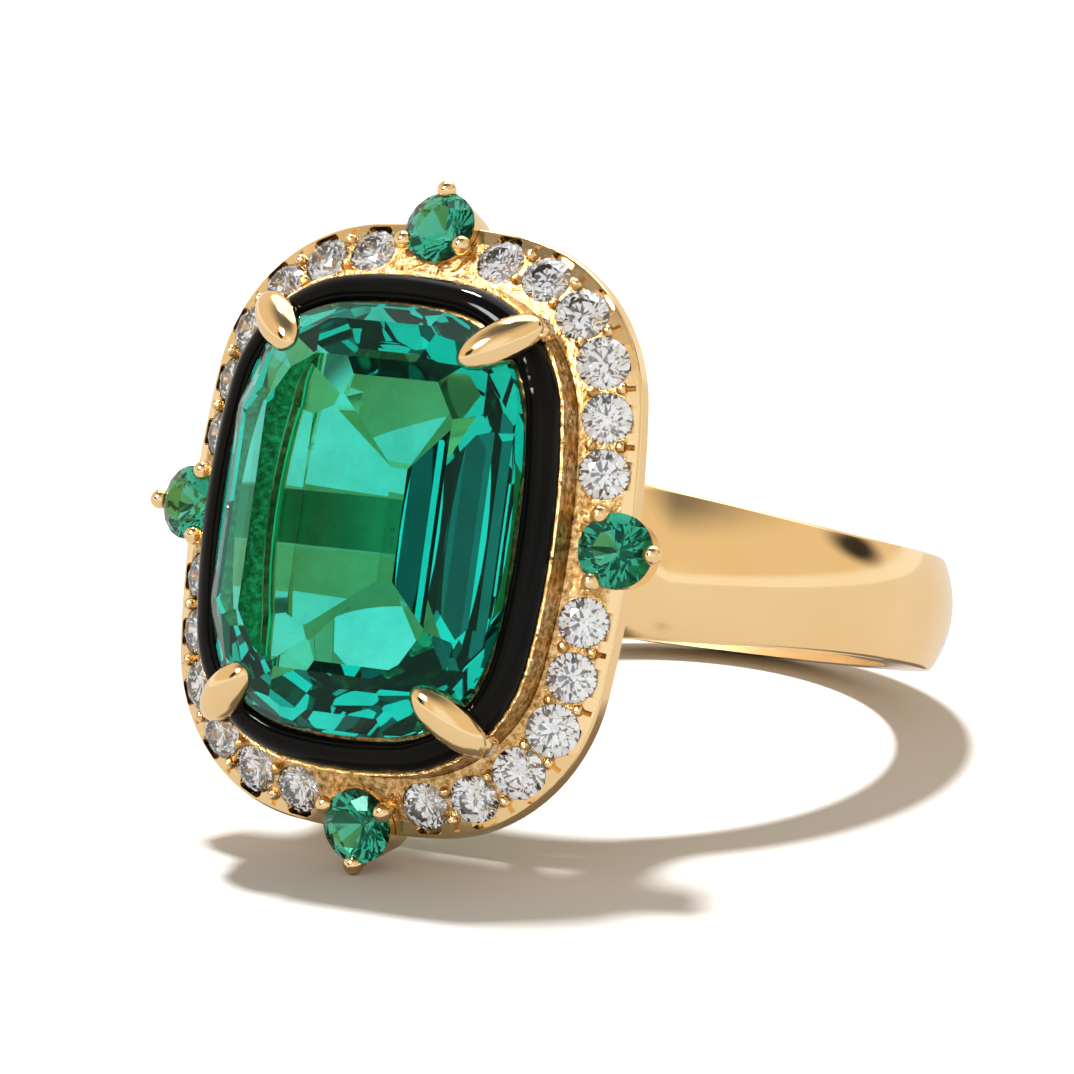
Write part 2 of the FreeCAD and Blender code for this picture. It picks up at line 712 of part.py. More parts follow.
def make_plate():
    """Pave plate: bevelled top, undercut back, thin shelf under the stone, seats, slots and beads."""
    body = doc.addObject("PartDesign::Body", "halo_blank")
    rim = cushion_sketch(body, "rim_outline", "rim", "rim_low")
    pad(body, rim, "rim_top - rim_low", "rim_wall")
    rim_top = cushion_sketch(body, "bevel_foot", "rim", "rim_top")
    bevel_top = cushion_sketch(body, "bevel_head", "stone", "bevel_top", "tray_out - fit_gap * 2")
    bevel = loft(body, rim_top, bevel_top, "bevel")
    edge_level = size("rim_top")
    round_edges(body, bevel, lambda edge: lies_at(edge, edge_level), "rim_edge_round", "rim_round")
    rim_foot = cushion_sketch(body, "rim_foot", "rim", "rim_low")
    back = cushion_sketch(body, "back_outline", "rim", "plate_back", "0 - plate_back_inset")
    loft(body, rim_foot, back, "undercut_back")
    opening = cushion_sketch(body, "opening_outline", "stone", "plate_back", "shelf_in")
    pocket(body, opening, "cut_reach", "opening", upward=True)
    under = cushion_sketch(body, "under_shelf_outline", "stone", "plate_back", "tray_in")
    pocket(body, under, "shelf_low - plate_back", "under_shelf", upward=True)
    recess = cushion_sketch(body, "recess_outline", "stone", "tray_base", "tray_out + fit_gap")
    pocket(body, recess, "cut_reach", "tray_recess", upward=True)
    beads = []
    for number, place in enumerate(bead_places(), 1):
        for row, side in (("outer", 1), ("inner", -1)):
            bead = doc.addObject("Part::Sphere", f"bead_{row}_{number}")
            step = Vector(side * size("bead_spread"), 0, size("bead_lift"))
            bead.Placement = place * Placement(step, Rotation())
            beads.append(bind(bead, Radius="bead_radius"))
    beaded = doc.addObject("Part::MultiFuse", "beaded_plate")
    beaded.Shapes = [body] + beads
    cutters = []
    for _, radius, place in diamond_places():
        for shape in (seat_cutter(radius), slot_cutter(radius)):
            cutters.append(shape.transformGeometry(place.toMatrix()))
    cutters += [groove_cutter().transformGeometry(place.toMatrix()) for place in bead_places()]
    for side in ACCENTS:
        cutters.append(collet_room().transformGeometry(accent_place(side).toMatrix()))
    waste = doc.addObject("Part::Feature", "seat_waste")
    waste.Shape = Part.makeCompound(cutters)
    plate = doc.addObject("Part::Cut", "halo_plate")
    plate.Base = beaded
    plate.Tool = waste
    return keep(plate, "halo_plate")


# ---------------------------------------------------------------- accent collets

def collet_room():
    """Space a collet takes in the plate, with its prongs."""
    gap = size("fit_gap")
    depth = size("collet_depth") + OVERRUN
    slope = size("collet_top_radius - collet_low_radius") / size("collet_depth - collet_drop")
    top = size("collet_top_radius") + gap
    foot = Vector(0, 0, -depth - size("collet_drop"))
    cone = Part.makeCone(top - slope * depth, top, depth, foot)
    drop = size("collet_drop")
    above = Part.makeCylinder(size("accent_radius") + gap, drop + OVERRUN, Vector(0, 0, -drop))
    room = cone.fuse(above)
    for angle in PRONG_ANGLES:
        at = Rotation(Vector(0, 0, 1), angle).multVec(Vector(size("prong_ring_radius"), 0, 0))
        drop = size("prong_drop") + gap
        room = room.fuse(Part.makeCylinder(size("prong_radius") + gap, drop, at - Vector(0, 0, drop)))
        ball = Part.makeSphere(size("prong_ball_radius") + gap, at + Vector(0, 0, size("prong_ball_level")))
        room = room.fuse(ball)
    return room


def make_accent(side):
    """One collet with its three ball prongs, and the round emerald it holds."""
    place = accent_place(side)
    stone = make_brilliant(f"accent_emerald_{side}", "accent_radius", place)
    depth, drop = "collet_depth", "collet_drop"
    outer = doc.addObject("Part::Cone", f"collet_outer_{side}")
    bind(outer, Radius1="collet_low_radius", Radius2="collet_top_radius", Height=f"{depth} - {drop}")
    inner = doc.addObject("Part::Cone", f"collet_inner_{side}")
    bind(inner, Radius1="collet_low_radius - collet_wall", Radius2="collet_top_radius - collet_wall",
         Height=f"{depth} - {drop}")
    for cone in (outer, inner):
        cone.Placement = Placement(Vector(0, 0, -size(depth)), Rotation())
    prongs = [outer]
    for angle in PRONG_ANGLES:
        at = Rotation(Vector(0, 0, 1), angle).multVec(Vector(size("prong_ring_radius"), 0, 0))
        wire = doc.addObject("Part::Cylinder", f"prong_wire_{side}_{angle}")
        wire.Placement = Placement(at - Vector(0, 0, size("prong_drop")), Rotation())
        bind(wire, Radius="prong_radius", Height="prong_drop + prong_ball_level")
        ball = doc.addObject("Part::Sphere", f"prong_ball_{side}_{angle}")
        ball.Placement = Placement(at + Vector(0, 0, size("prong_ball_level")), Rotation())
        prongs += [wire, bind(ball, Radius="prong_ball_radius")]
    solid = doc.addObject("Part::MultiFuse", f"collet_solid_{side}")
    solid.Shapes = prongs
    waste = doc.addObject("Part::Feature", f"collet_waste_{side}")
    doc.recompute()
    local_stone = stone.Shape.copy()
    local_stone.Placement = Placement()
    waste.Shape = inner.Shape.fuse(local_stone)
    collet = doc.addObject("Part::Cut", f"accent_collet_{side}")
    collet.Base = solid
    collet.Tool = waste
    return keep(collet, f"accent_collet_{side}", HEAD * place)


# ---------------------------------------------------------------- claws

def claw_room(corner):
    """Space open to a claw, from its side: above the crown and the frame, and outside the tray."""
    body = doc.addObject("PartDesign::Body", f"claw_room_{corner}")
    girdle = size("stone_corner_arc")
    wall = girdle + size("tray_out + fit_gap")
    lip = girdle + size("tray_out - tray_lip")
    gap = size("fit_gap")
    frame_top = size("frame_top") + gap
    outer_round = size("frame_outer_round")
    crown_slope = size("(table_level - girdle_high) / table_inset")
    tip = girdle - size("table_inset")
    foot = size("tray_floor")
    high, far = size("claw_level") + girdle, 2 * girdle
    points = [
        (wall, foot),
        (far, foot),
        (far, high),
        (tip, high),
        (tip, size("table_level") + gap),
        (girdle, frame_top + size("girdle_high - frame_top")),
        (girdle + 2 * gap, frame_top),
        (lip - outer_round / 2, frame_top),
        (lip - outer_round / 8, frame_top - outer_round / 3),
        (wall, size("tray_lip_top + claw_lip_gap")),
    ]
    sketch = new_sketch(body, f"claw_room_side_{corner}", "XZ_Plane")
    draw_polygon(sketch, [Vector(reach, level, 0) for reach, level in points])
    pad(body, sketch, "claw_half_width * 4", f"claw_room_{corner}_block", midplane=True)
    return body


def make_claw(corner):
    """Thumb-shaped claw: it climbs the tray's outside, crosses the frame and rests on the crown."""
    thumb = doc.addObject("Part::Ellipsoid", f"claw_thumb_{corner}")
    lean = Rotation(Vector(0, 1, 0), size("claw_tilt"))
    thumb.Placement = Placement(Vector(size("claw_reach"), 0, size("claw_level")), lean)
    bind(thumb, Radius1="claw_half_height", Radius2="claw_half_length", Radius3="claw_half_width")
    root = doc.addObject("Part::Ellipsoid", f"claw_root_{corner}")
    wall = size("stone_corner_arc + tray_out")
    root.Placement = Placement(Vector(wall, 0, size("root_level")), Rotation())
    bind(root, Radius1="root_half_height", Radius2="root_half_length", Radius3="root_half_width")
    whole = doc.addObject("Part::MultiFuse", f"claw_whole_{corner}")
    whole.Shapes = [thumb, root]
    claw = doc.addObject("Part::MultiCommon", f"claw_{corner}")
    claw.Shapes = [whole, claw_room(corner)]
    east, north = CORNERS[corner]
    _, centres, _ = cushion_arcs("stone")
    angle = math.radians(size("claw_angle"))
    aside = Vector(-math.sin(angle), math.cos(angle), 0) * size("claw_offset")
    start = centres[1] + aside
    turn = math.degrees(math.atan2(math.sin(angle) * north, math.cos(angle) * east))
    place = Placement(Vector(start.x * east, start.y * north, 0), Rotation(Vector(0, 0, 1), turn))
    return keep(claw, f"claw_{corner}", HEAD * place)


# ---------------------------------------------------------------- assembly and export

make_shank()
make_rail()
make_posts()
make_plate()
make_tray()
make_black_frame()
make_centre_stone()
for side in ACCENTS:
    make_accent(side)
for corner in CORNERS:
    make_claw(corner)
for name, radius, place in diamond_places():
    make_brilliant(name, radius, place)
doc.recompute()

for thing in doc.Objects:
    if "Invalid" in thing.State or "Error" in thing.State:
        raise RuntimeError(f"{thing.Label} failed: {thing.State}")
for node in nodes:
    if node.Shape.isNull() or not node.Shape.isValid() or not node.Shape.Solids:
        raise RuntimeError(f"{node.Label} has no valid solid")
os.makedirs("parts", exist_ok=True)
for node in nodes:
    node.Shape.exportStep(f"parts/{node.Label}.step")
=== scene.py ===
import math

import bmesh
import bpy
import numpy as np
from mathutils import Matrix, Vector


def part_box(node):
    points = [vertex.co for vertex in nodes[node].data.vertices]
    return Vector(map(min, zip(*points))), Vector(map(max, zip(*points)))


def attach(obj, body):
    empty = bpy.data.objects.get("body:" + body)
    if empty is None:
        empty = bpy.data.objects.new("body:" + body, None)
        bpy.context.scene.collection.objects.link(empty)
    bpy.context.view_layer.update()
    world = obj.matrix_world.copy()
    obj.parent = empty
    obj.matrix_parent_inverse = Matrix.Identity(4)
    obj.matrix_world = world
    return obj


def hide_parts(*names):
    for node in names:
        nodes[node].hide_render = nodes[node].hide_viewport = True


# Cocktail ring on a white table. The head faces -Y and the finger axis is Z; in metres unless a name or
# comment says otherwise.
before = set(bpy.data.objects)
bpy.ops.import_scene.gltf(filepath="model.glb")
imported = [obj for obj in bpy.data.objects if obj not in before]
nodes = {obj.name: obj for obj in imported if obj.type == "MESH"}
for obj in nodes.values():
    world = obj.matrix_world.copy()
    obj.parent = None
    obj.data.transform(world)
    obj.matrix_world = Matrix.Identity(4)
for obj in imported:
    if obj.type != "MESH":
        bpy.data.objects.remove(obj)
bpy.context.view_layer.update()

MM = 0.001
FINGER_RADIUS = 8.65 * MM

# the camera looks at the finger hole from in front of the head, a little from its east and below
CAMERA_AIM = Vector((-1.97, -1.10, 0.73)) * MM
CAMERA_DISTANCE = 166.3 * MM
CAMERA_AZIMUTH = math.radians(28.3)
CAMERA_ELEVATION = math.radians(-2.5)
CAMERA_ROLL = math.radians(7.85)
CAMERA_LENS = 184.2

# roughness of the band where it isn't polished
SATIN_HOLE = 0.4
SATIN_BRIDGE = 0.5

# how strongly the stones bend light
EMERALD_INDEX = 1.58
DIAMOND_INDEX = 2.417

# turn from each round stone to the next about its own axis, so that no two sparkle alike
DIAMOND_TURN = 0.37
ACCENT_TURN = 0.2

# reading the centre stone's outline: what counts as one point, as its girdle (either way), and as widest
SAME_POINT = 0.005 * MM
GIRDLE_BAND = 0.12 * MM
WIDEST_BAND = 0.001 * MM

# round brilliant of radius 1: table, half the girdle, culet and slopes of its facets in degrees
TABLE_RADIUS = 0.56
HALF_GIRDLE = 0.02
CULET_LEVEL = -0.84
CROWN_MAIN, CROWN_HALF, STAR = 34.5, 40.5, 21.0
PAVILION_MAIN, PAVILION_HALF = -40.75, -42.0

# facets of the centre stone in degrees and mm: azimuths (mirrored into every quarter) of the tiers at the
# girdle and next to it; their slopes; and azimuth, slope and reach at the culet of the planes of its keel
GIRDLE_TIER = (0, 20, 45, 68, 90)
INNER_TIER = (0, 32, 58, 90)
GIRDLE_SLOPES = (45, -58)
INNER_SLOPES = (27, -42)
KEEL = ((0, 26, 0.25), (90, 25.5, 1.6), (42, 20.5, 1.256))
CUSHION_HALF_GIRDLE = 0.09
CROWN_STEP_IN, CROWN_STEP_UP = 0.62, 0.6
PAVILION_STEP_IN, PAVILION_STEP_DOWN = 0.65, 1.0

# table: half its side, and its paleness as the ring mirrors it and as the camera sees it
HALF_TABLE = 0.8
TABLE_MIRRORED = 0.5
TABLE_SEEN = 0.9

# brightness of the room the ring mirrors, and of the light the table gets from all round
WALLS = (0.84, 0.72, 0.55)
AMBIENT = (0.54, 0.475, 0.405)
WHITE = 1.0
CEILING = 0.15
BACK_WINDOW = 2.2
SOFTBOX = 55.0
DARK = 0.04

# patches of that room in table axes: azimuth, elevation, reach and soft edge in degrees, and brightness
PATCHES = (
    (0, 90, 35, 20, CEILING),
    (98, 52, 26, 5, BACK_WINDOW),
    (-62, 15, 20, 9, WHITE),
    (0, -90, 98, 3, WHITE),
    (-118, 21, 12, 4, DARK),
    (47, 19, 9, 5, DARK),
    (-108, 44, 10, 1.5, SOFTBOX),
)

# rays that met this many surfaces see a mosaic of light and dark instead, so that deep facets sparkle
DEEP = 3.5
MOSAIC_SCALE = 3.2
MOSAIC_RANGE = (0.12, 1.0)

# sun: strength, width of its disc and the way its light travels, in table axes
SUN_ENERGY = 3.9
SUN_WIDTH = math.radians(7.5)
SUN_TRAVEL = Vector((0.27, -0.26, -1.0))


# ---------------------------------------------------------------- shader nodes

class Shader:
    """Node tree of one material, with short calls for the nodes it uses."""

    def __init__(self, name):
        self.material = bpy.data.materials.new(name)
        self.material.use_nodes = True
        self.tree = self.material.node_tree
        self.tree.nodes.clear()
        self.output = self.tree.nodes.new("ShaderNodeOutputMaterial")

    def add(self, kind, settings=None, **inputs):
        node = self.tree.nodes.new(kind)
        for key, value in (settings or {}).items():
            setattr(node, key, value)
        for key, value in inputs.items():
            self.feed(node, key, value)
        return node

    def feed(self, node, key, value):
        """Sets or links one input, given by its name or as _ and its index."""
        socket = node.inputs[int(key[1:])] if key[0] == "_" else node.inputs[key.replace("_", " ")]
        if isinstance(value, bpy.types.NodeSocket):
            self.tree.links.new(value, socket)
        else:
            socket.default_value = value

    def place(self):
        return self.add("ShaderNodeTexCoord").outputs["Object"]

    def noise(self, scale, detail=4.0, roughness=0.5):
        """Noise between 0 and 1; scale is in features per metre."""
        node = self.add(
            "ShaderNodeTexNoise", Scale=scale, Detail=detail, Roughness=roughness, Vector=self.place(),
        )
        return node.outputs["Fac"]

    def ramp(self, factor, *stops):
        """Colour ramp; each stop is a position and a grey level or colour."""
        node = self.add("ShaderNodeValToRGB")
        elements = node.color_ramp.elements
        while len(elements) < len(stops):
            elements.new(0.5)
        for element, (position, color) in zip(elements, stops):
            element.position = position
            element.color = (*color, 1) if isinstance(color, tuple) else (color, color, color, 1)
        self.tree.links.new(factor, node.inputs["Fac"])
        return node.outputs["Color"]

    def span(self, factor, low, high, new_low, new_high):
        """Maps low to high onto new_low to new_high, held at the ends."""
        node = self.add("ShaderNodeMapRange", _0=factor, _1=low, _2=high, _3=new_low, _4=new_high)
        return node.outputs[0]

    def compute(self, operation, *values):
        node = self.add("ShaderNodeMath", {"operation": operation})
        for index, value in enumerate(values):
            self.feed(node, f"_{index}", value)
        return node.outputs[0]

    def bump(self, height, strength, distance):
        node = self.add("ShaderNodeBump", Strength=strength, Distance=distance, Height=height)
        return node.outputs["Normal"]

    def finish(self, surface, volume=None):
        self.tree.links.new(surface, self.output.inputs["Surface"])
        if volume:
            self.tree.links.new(volume, self.output.inputs["Volume"])
        return self.material


def polished_gold():
    """Bright 18 ct gold with faint polishing marks and slow colour drift."""
    shader = Shader("polished_gold")
    drift = shader.noise(260.0, 3.0)
    color = shader.ramp(drift, (0.3, (0.93, 0.66, 0.33)), (0.7, (0.97, 0.71, 0.39)))
    marks = shader.noise(9000.0, 6.0, 0.7)
    roughness = shader.span(shader.noise(1400.0, 5.0, 0.6), 0.3, 0.7, 0.05, 0.11)
    normal = shader.bump(marks, 0.05, 0.002 * MM)
    return shader.finish(shader.add(
        "ShaderNodeBsdfPrincipled", Base_Color=color, Metallic=1.0, Roughness=roughness, Normal=normal,
    ).outputs[0])


def grain_height(shader):
    """Height of tool marks and casting grain, mostly between 0.5 and 0.95."""
    coarse = shader.noise(5200.0, 3.0, 0.6)
    fine = shader.noise(16000.0, 3.0, 0.7)
    return shader.compute("MULTIPLY_ADD", fine, 0.45, coarse)


def worked_gold():
    """Gold left grainy by the setter's tools, with painted shade: dark brown in the low spots of the grain.
    """
    shader = Shader("worked_gold")
    grain = grain_height(shader)
    # painted shade: the low spots of the grain turn dark brown, as if shaded in the crevices
    color = shader.ramp(
        grain, (0.50, (0.15, 0.07, 0.015)), (0.68, (0.50, 0.29, 0.09)), (0.88, (0.90, 0.64, 0.32)),
    )
    normal = shader.bump(grain, 0.9, 0.06 * MM)
    return shader.finish(shader.add(
        "ShaderNodeBsdfPrincipled", Base_Color=color, Metallic=1.0, Roughness=0.22, Normal=normal,
    ).outputs[0])


def plate_gold(half_x, half_z):
    """Grainy gold around the stones, with painted shade in the low spots of the grain, that turns polished
    near the rim of a cushion of those half sizes.
    """
    shader = Shader("plate_gold")
    parts = shader.add("ShaderNodeSeparateXYZ", _0=shader.place())
    powers = []
    for axis, half in ((0, half_x), (2, half_z)):
        share = shader.compute("DIVIDE", parts.outputs[axis], half)
        powers.append(shader.compute("POWER", shader.compute("ABSOLUTE", share), 3.0))
    inside = shader.span(shader.compute("ADD", *powers), 0.84, 0.88, 1.0, 0.0)
    grain = grain_height(shader)
    # painted shade: the low spots of the grain turn dark brown, as if shaded in the crevices
    painted_shade_grain_color = shader.ramp(
        grain, (0.50, (0.17, 0.08, 0.02)), (0.68, (0.58, 0.34, 0.11)), (0.88, (0.94, 0.68, 0.36)),
    )
    color = shader.add(
        "ShaderNodeMix", {"data_type": "RGBA"}, Factor=inside, _6=(0.95, 0.69, 0.37, 1), _7=painted_shade_grain_color,
    ).outputs[2]
    normal = shader.bump(grain, shader.span(inside, 0.0, 1.0, 0.01, 0.8), 0.05 * MM)
    return shader.finish(shader.add(
        "ShaderNodeBsdfPrincipled", Base_Color=color, Metallic=1.0,
        Roughness=shader.span(inside, 0.0, 1.0, 0.12, 0.2), Normal=normal,
    ).outputs[0])


def band_gold():
    """Polished gold, a little deeper in colour; satin in the finger hole and on the bridge."""
    shader = Shader("band_gold")
    flat = shader.add("ShaderNodeVectorMath", {"operation": "MULTIPLY"}, _0=shader.place(), _1=(1, 1, 0))
    radial = shader.add("ShaderNodeVectorMath", {"operation": "LENGTH"}, _0=flat.outputs[0]).outputs["Value"]
    in_hole = shader.span(radial, FINGER_RADIUS + 0.05 * MM, FINGER_RADIUS + 0.1 * MM, SATIN_HOLE, 0.0)
    # how far the bridge is, sideways and back: least in the middle of it
    parts = shader.add("ShaderNodeSeparateXYZ", _0=shader.place())
    from_bridge = shader.compute("ADD", shader.compute("ABSOLUTE", parts.outputs[0]), parts.outputs[1])
    on_bridge = shader.span(from_bridge, -5.5 * MM, -4.5 * MM, SATIN_BRIDGE, 0.0)
    color = shader.ramp(shader.noise(300.0, 3.0), (0.3, (0.95, 0.67, 0.33)), (0.7, (1.0, 0.73, 0.40)))
    normal = shader.bump(shader.noise(9000.0, 6.0, 0.7), 0.04, 0.002 * MM)
    polish = shader.span(shader.noise(1200.0, 5.0, 0.6), 0.3, 0.7, 0.06, 0.10)
    roughness = shader.compute("MAXIMUM", on_bridge, shader.compute("MAXIMUM", in_hole, polish))
    return shader.finish(shader.add(
        "ShaderNodeBsdfPrincipled", Base_Color=color, Metallic=1.0, Roughness=roughness, Normal=normal,
    ).outputs[0])


def emerald(name, tint, depth_color, density, cloud):
    """Clear green stone with veils and specks.

    tint colours light at the surface, depth_color and density colour it on its way through, and cloud is
    how uneven the surface looks.
    """
    shader = Shader(name)
    veil = shader.noise(700.0, 8.0, 0.65)
    thin, speck = (tuple(share * part for part in tint) for share in (0.72, 0.45))
    color = shader.ramp(veil, (0.30, thin), (0.62, tint), (0.66, tint), (0.71, speck))
    normal = shader.bump(shader.noise(700.0, 2.0), 0.02 * cloud, 0.01 * MM)
    glass = shader.add(
        "ShaderNodeBsdfPrincipled", Base_Color=color, Roughness=0.0, IOR=EMERALD_INDEX, Normal=normal,
        Specular_Tint=(0.12, 0.3, 0.25, 1), Transmission_Weight=0.985,
    ).outputs[0]
    body = shader.add("ShaderNodeVolumeAbsorption", Color=(*depth_color, 1), Density=density).outputs[0]
    return shader.finish(glass, body)


def diamond():
    shader = Shader("diamond")
    tint = shader.ramp(shader.noise(900.0, 2.0), (0.3, (0.97, 0.975, 1.0)), (0.7, (1.0, 1.0, 1.0)))
    return shader.finish(shader.add(
        "ShaderNodeBsdfPrincipled", Base_Color=tint, Roughness=0.0, IOR=DIAMOND_INDEX,
        Transmission_Weight=1.0,
    ).outputs[0])


def black_inlay():
    shader = Shader("black_inlay")
    color = shader.ramp(shader.noise(500.0, 4.0), (0.3, (0.003, 0.003, 0.0035)), (0.7, 0.007))
    roughness = shader.span(shader.noise(3000.0, 5.0), 0.3, 0.7, 0.03, 0.07)
    return shader.finish(shader.add(
        "ShaderNodeBsdfPrincipled", Base_Color=color, Roughness=roughness, IOR=1.2,
    ).outputs[0])


# ---------------------------------------------------------------- reading the CAD stones

def points_of(node):
    mesh = nodes[node].data
    flat = np.zeros(len(mesh.vertices) * 3, np.float64)
    mesh.vertices.foreach_get("co", flat)
    return flat.reshape(-1, 3)


def gem_axis(node):
    """Direction a stone's table faces: the normal shared by its largest flat area."""
    areas = {}
    for polygon in nodes[node].data.polygons:
        key = tuple(round(value, 3) for value in polygon.normal)
        areas[key] = areas.get(key, 0.0) + polygon.area
    return Vector(max(areas, key=areas.get)).normalized()


def gem_frame(node):
    """Girdle centre, axes (across, along, up) and radius of a round CAD stone."""
    up = gem_axis(node)
    across = up.orthogonal().normalized()
    along = up.cross(across)
    axes = np.array([across, along, up])
    local = points_of(node) @ axes.T
    middle = (local.min(0) + local.max(0)) / 2
    radius = (local[:, 0].max() - local[:, 0].min()) / 2
    reach = np.hypot(local[:, 0] - middle[0], local[:, 1] - middle[1])
    level = local[reach > 0.99 * radius][:, 2].mean()
    centre = Vector(axes.T @ np.array([middle[0], middle[1], level]))
    return centre, (across, along, up), radius


# ---------------------------------------------------------------- cut stones

def cut(mesh, point, normal):
    """Removes what lies beyond a plane and closes the cut with one flat facet."""
    geometry = mesh.verts[:] + mesh.edges[:] + mesh.faces[:]
    result = bmesh.ops.bisect_plane(
        mesh, geom=geometry, plane_co=point, plane_no=normal, clear_outer=True, dist=1e-9,
    )
    edges = [item for item in result["geom_cut"] if isinstance(item, bmesh.types.BMEdge)]
    if len(edges) > 2:
        bmesh.ops.contextual_create(mesh, geom=edges)


def prism(outline, low, high):
    """Closed bmesh prism on an outline of (x, y) pairs."""
    mesh = bmesh.new()
    bottom = [mesh.verts.new((x, y, low)) for x, y in outline]
    top = [mesh.verts.new((x, y, high)) for x, y in outline]
    mesh.faces.new(list(reversed(bottom)))
    mesh.faces.new(top)
    for index in range(len(outline)):
        after = (index + 1) % len(outline)
        mesh.faces.new((bottom[index], bottom[after], top[after], top[index]))
    return mesh


def facet(mesh, azimuth, slope, reach, level):
    """Cuts a facet through a point at reach and level; its slope is negative below the girdle."""
    side = 1 if slope > 0 else -1
    direction = Vector((math.cos(azimuth), math.sin(azimuth), 0))
    normal = direction * math.sin(abs(slope)) + Vector((0, 0, side * math.cos(slope)))
    cut(mesh, direction * reach + Vector((0, 0, level)), normal)


def finished(mesh, name):
    data = bpy.data.meshes.new(name)
    mesh.to_mesh(data)
    mesh.free()
    return data


def brilliant_mesh(name):
    """Round brilliant of radius 1: 8 mains, 8 stars and 16 halves above, 8 mains and 16 halves below."""
    around = [math.tau * index / 64 for index in range(64)]
    mesh = prism([(math.cos(turn), math.sin(turn)) for turn in around], -1.0, 0.6)
    crown_main = math.radians(CROWN_MAIN)
    table_level = HALF_GIRDLE + (1 - TABLE_RADIUS) * math.tan(crown_main)
    cut(mesh, Vector((0, 0, table_level)), Vector((0, 0, 1)))
    for index in range(8):
        turn = math.tau * index / 8
        facet(mesh, turn, crown_main, 1.0, HALF_GIRDLE)
        facet(mesh, turn, math.radians(PAVILION_MAIN), 1.0, -HALF_GIRDLE)
        star_reach = TABLE_RADIUS * math.cos(math.tau / 16)
        facet(mesh, turn + math.tau / 16, math.radians(STAR), star_reach, table_level)
    for index in range(16):
        turn = math.tau * (index + 0.5) / 16
        facet(mesh, turn, math.radians(CROWN_HALF), math.cos(math.tau / 32), HALF_GIRDLE)
        facet(mesh, turn, math.radians(PAVILION_HALF), math.cos(math.tau / 32), -HALF_GIRDLE)
    cut(mesh, Vector((0, 0, CULET_LEVEL)), Vector((0, 0, -1)))
    return finished(mesh, name)


def show(mesh, name, material, node):
    """Links a mesh as a piece on the ring's body, in place of a CAD node."""
    piece = bpy.data.objects.new(name, mesh)
    bpy.context.scene.collection.objects.link(piece)
    mesh.materials.clear()
    mesh.materials.append(material)
    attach(piece, "root")
    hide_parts(node)


def set_round_stones(prefix, material, turn):
    """Puts a faceted brilliant where each round CAD stone of that prefix is, each turned a bit more."""
    for number, node in enumerate(sorted(name for name in nodes if name.startswith(prefix))):
        centre, (across, along, up), radius = gem_frame(node)
        place = Matrix((across, along, up)).transposed().to_4x4()
        place.translation = centre
        data = brilliant_mesh(node + "_facets")
        data.transform(place @ Matrix.Rotation(turn * number, 4, "Z") @ Matrix.Scale(radius, 4))
        show(data, node + "_cut", material, node)


def girdle_outline(node):
    """Outline of a stone's girdle as (x, z) pairs, counter-clockwise seen from the front, and its y."""
    points = points_of(node)
    widest = points[:, 0].max()
    rim_level = points[points[:, 0] > widest - WIDEST_BAND][:, 1].mean()
    ring = points[np.abs(points[:, 1] - rim_level) < GIRDLE_BAND]
    turns = np.arctan2(ring[:, 2], ring[:, 0])
    order = np.argsort(turns)
    outline = []
    for x, _, z in ring[order]:
        if not outline or (Vector((x, z)) - outline[-1]).length > SAME_POINT:
            outline.append(Vector((x, z)))
    return outline, rim_level


def cushion_mesh(name):
    """Elongated cushion, step cut below with a long flat keel, in local axes x east, y north, z out."""
    outline, rim_level = girdle_outline("centre_emerald")
    low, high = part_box("centre_emerald")
    girdle = -rim_level
    table = -low.y
    culet = -high.y
    mesh = prism([tuple(point) for point in outline], culet, table)

    def support(azimuth):
        direction = Vector((math.cos(azimuth), math.sin(azimuth)))
        return max(point.dot(direction) for point in outline)

    def around(*degrees):
        turns = [sign * turn for turn in degrees for sign in ((1, -1) if turn % 90 else (1,))]
        return [math.radians(turn + flip) for turn in turns for flip in (0, 180)]

    half = CUSHION_HALF_GIRDLE * MM
    above, below = (math.radians(slope) for slope in GIRDLE_SLOPES)
    for azimuth in around(*GIRDLE_TIER):
        reach = support(azimuth)
        facet(mesh, azimuth, above, reach, girdle + half)
        facet(mesh, azimuth, below, reach, girdle - half)
    above, below = (math.radians(slope) for slope in INNER_SLOPES)
    for azimuth in around(*INNER_TIER):
        reach = support(azimuth)
        facet(mesh, azimuth, above, reach - CROWN_STEP_IN * MM, girdle + half + CROWN_STEP_UP * MM)
        facet(mesh, azimuth, below, reach - PAVILION_STEP_IN * MM, girdle - half - PAVILION_STEP_DOWN * MM)
    for degrees, slope, reach in KEEL:
        for azimuth in around(degrees):
            facet(mesh, azimuth, math.radians(-slope), reach * MM, culet)
    data = finished(mesh, name)
    data.transform(Matrix.Rotation(math.pi / 2, 4, "X"))
    return data


# ---------------------------------------------------------------- dressing the CAD nodes

gold = polished_gold()
rough_gold = worked_gold()
_, plate_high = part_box("halo_plate")
halo_gold = plate_gold(plate_high.x, plate_high.z)
green = emerald("emerald_centre", (0.30, 0.97, 0.78), (0.60, 0.97, 0.965), 800.0, 1.0)
small_green = emerald("emerald_accent", (0.20, 0.74, 0.52), (0.65, 0.90, 0.868), 1700.0, 3.0)
clear = diamond()
black = black_inlay()
finishes = {
    "black_frame": black, "frame_tray": rough_gold, "halo_plate": halo_gold, "shank": band_gold(),
}

for name, node in nodes.items():
    for index in range(len(node.data.materials)):
        node.data.materials[index] = finishes.get(name, gold)

set_round_stones("diamond_", clear, DIAMOND_TURN)
set_round_stones("accent_emerald_", small_green, ACCENT_TURN)
show(cushion_mesh("cushion_facets"), "centre_emerald_cut", green, "centre_emerald")


# ---------------------------------------------------------------- table, light and camera

